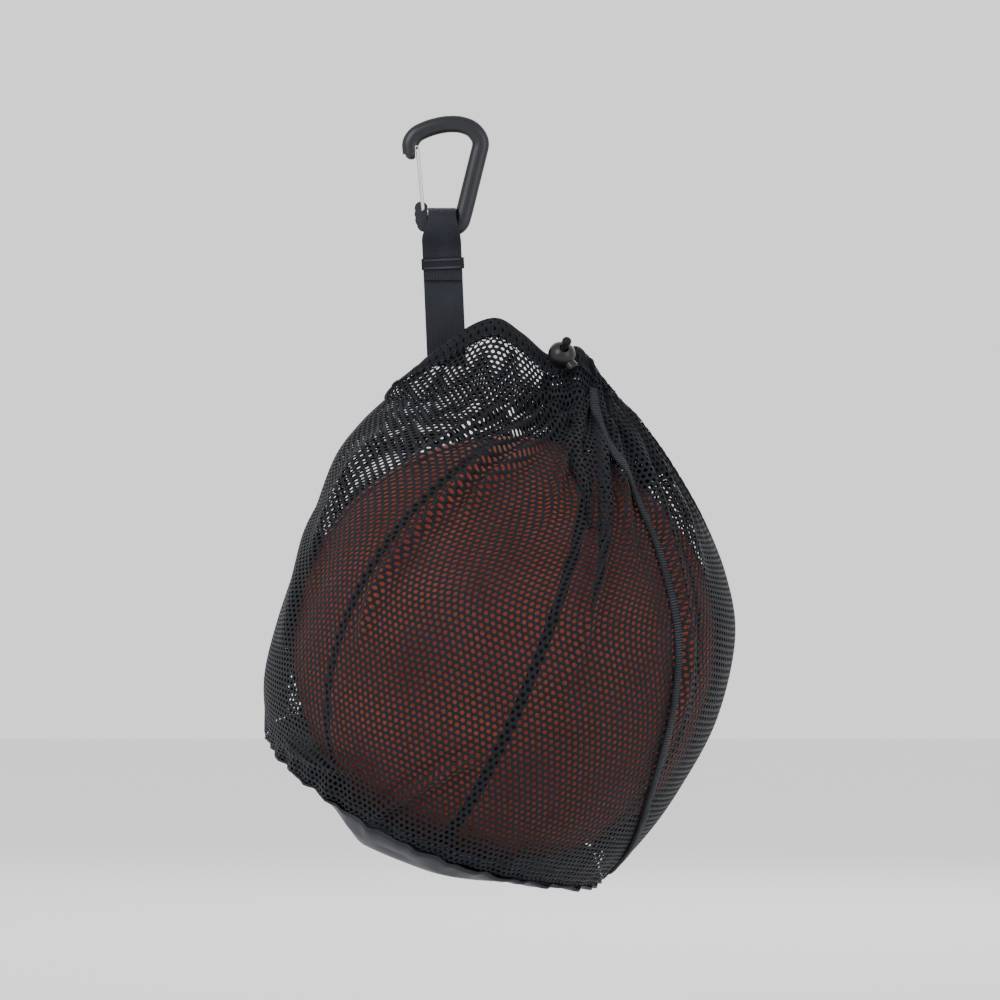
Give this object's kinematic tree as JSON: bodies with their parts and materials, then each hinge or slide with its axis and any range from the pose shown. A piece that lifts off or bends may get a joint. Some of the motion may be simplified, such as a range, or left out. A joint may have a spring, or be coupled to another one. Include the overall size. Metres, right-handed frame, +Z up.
{
  "type": "mesh ball bag",
  "caption": "Hanging mesh bag with a round coated base, a drawcord hem with a ball cord lock, a webbing strap on a wire-gate carabiner, and a basketball inside.",
  "frame": {"origin": "the hang point: the middle of the carabiner's inner top edge, where a hook or a rail carries the load", "axes": "+Z up along the hanging line, -Y is the front that the picture shows, +X is to the right of the front"},
  "size_m": [0.2647, 0.2524, 0.4359],
  "materials": {
    "carabiner_metal": "dark slate, satin",
    "gate_wire": "bright drawn wire",
    "webbing": "ribbed polyester webbing",
    "tape": "woven binding tape",
    "thread": "polyester sewing thread",
    "net": "open warp-knit mesh",
    "net_band": "doubled warp-knit mesh",
    "coated_cloth": "coated woven cloth, smooth and matt",
    "cord": "braided round cord",
    "lock_plastic": "polished moulded plastic",
    "spring_wire": "spring wire",
    "ball_cover": "pebbled, satin",
    "ball_rib": "smooth, matt",
    "ball_carcass": "wound nylon thread in rubber",
    "ball_bladder": "butyl rubber"
  },
  "bodies": {
    "carabiner": {"carabiner_body": "carabiner_metal"},
    "gate": {"carabiner_gate_wire": "gate_wire"},
    "strap": {"strap_webbing": "webbing", "strap_fold_tape": "tape", "strap_bartacks": "thread"},
    "bag": {"strap_tab": "webbing", "strap_box_stitch": "thread", "mesh_tube": "net", "side_seam_binding": "tape", "side_seam_stitches": "thread", "base_panel": "coated_cloth", "base_seam_binding": "tape", "base_seam_stitches": "thread", "hem_channel": "net_band", "hem_stitches": "thread", "drawcord": "cord", "drawcord_knot": "cord"},
    "cord_lock": {"cord_lock_body": "lock_plastic", "cord_lock_spring": "spring_wire"},
    "lock_button": {"cord_lock_button": "lock_plastic"},
    "ball": {"ball_carcass": "ball_carcass", "ball_bladder": "ball_bladder", "ball_valve": "ball_rib", "ball_seam_ribs": "ball_rib", "ball_panel_crown_front_right": "ball_cover", "ball_panel_crown_rear_right": "ball_cover", "ball_panel_crown_front_left": "ball_cover", "ball_panel_crown_rear_left": "ball_cover", "ball_panel_ear_front_right": "ball_cover", "ball_panel_ear_rear_right": "ball_cover", "ball_panel_ear_front_left": "ball_cover", "ball_panel_ear_rear_left": "ball_cover"}
  },
  "joints": [
    {"name": "gate_pivot", "type": "hinge", "parent": "carabiner", "child": "gate", "pos_m": [-0.0162, 0, -0.0435], "axis": [0, 1, 0], "range_deg": [0, 28], "stiffness_Nm_per_rad": 0.02, "springref_deg": -20.05},
    {"name": "strap_swing", "type": "hinge", "parent": "carabiner", "child": "strap", "pos_m": [-0.0063, 0, -0.052], "axis": [1, 0, 0], "range_deg": [-45, 45]},
    {"name": "bag_swing", "type": "hinge", "parent": "strap", "child": "bag", "pos_m": [-0.0039, 0, -0.106], "axis": [1, 0, 0], "range_deg": [-40, 40]},
    {"name": "lock_slide", "type": "slide", "parent": "bag", "child": "cord_lock", "axis": [0.1803, -0.8465, 0.5009], "range_m": [0, 0.004]},
    {"name": "button_press", "type": "slide", "parent": "cord_lock", "child": "lock_button", "axis": [-0.6323, 0.2903, 0.7182], "range_m": [0, 0.0025], "stiffness_N_per_m": 400, "springref_m": -0.001, "deforming": ["cord_lock_spring"]},
    {"name": "ball_turn", "type": "hinge", "parent": "bag", "child": "ball", "pos_m": [0.0298, 0, -0.2894], "axis": [0.4124, -0.2181, 0.8845], "continuous": true}
  ]
}
